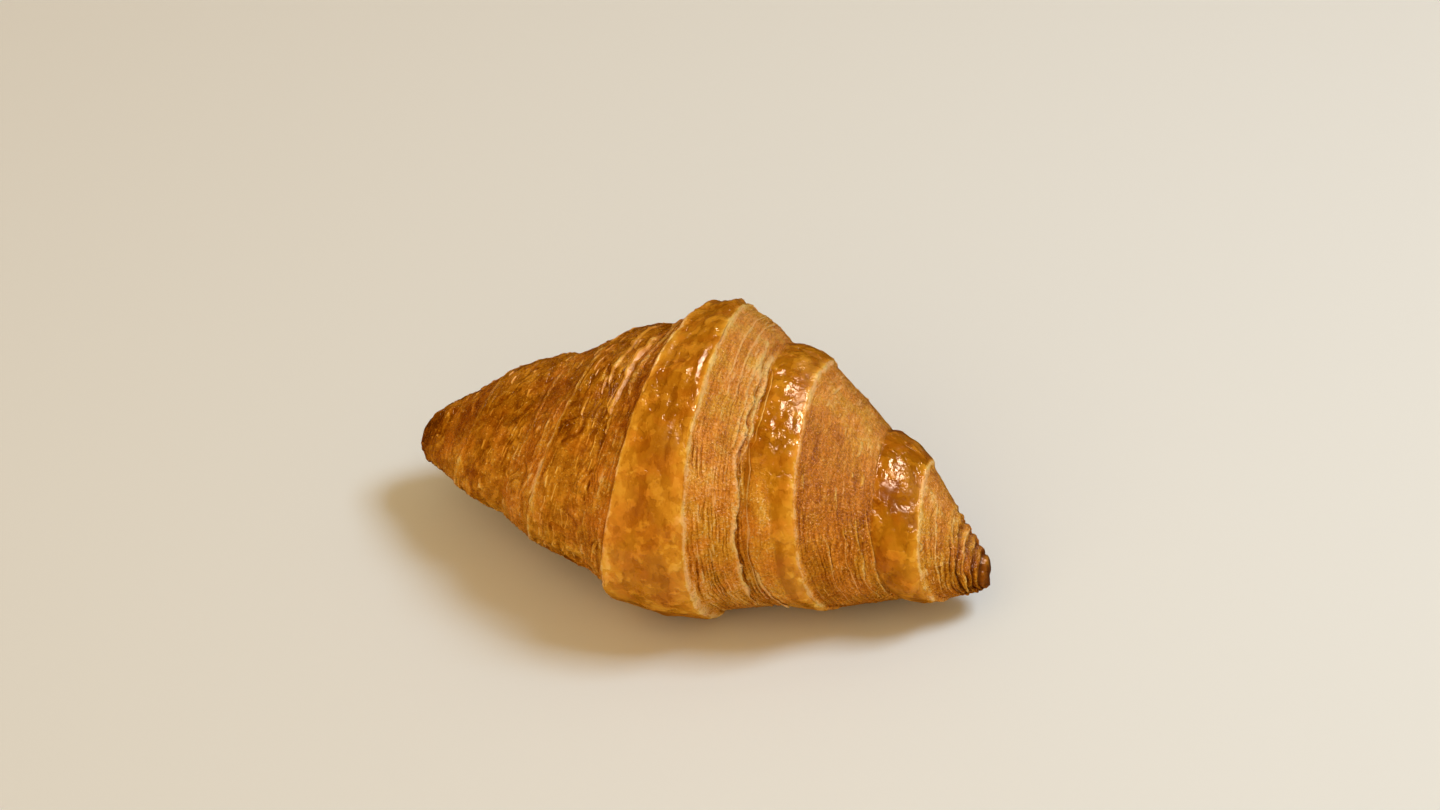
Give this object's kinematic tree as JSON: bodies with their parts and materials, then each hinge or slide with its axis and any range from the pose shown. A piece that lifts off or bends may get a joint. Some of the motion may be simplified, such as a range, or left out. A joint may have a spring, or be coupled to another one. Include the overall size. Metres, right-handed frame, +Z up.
{
  "type": "croissant",
  "caption": "Plain baked butter croissant: rolled laminated dough with stepped helical folds, tapered ends and a pressed flat base.",
  "frame": {"origin": "centre of the bounding box's bottom, on the surface the croissant rests on", "axes": "+X along the roll, towards the lower pointed end; +Y to the back; +Z up"},
  "size_m": [0.15, 0.0878, 0.0672],
  "materials": {
    "crust": "baked golden-brown, egg-washed and slightly glossy, flaky at the cut edges"
  },
  "bodies": {
    "root": {"croissant": "crust"}
  },
  "joints": []
}
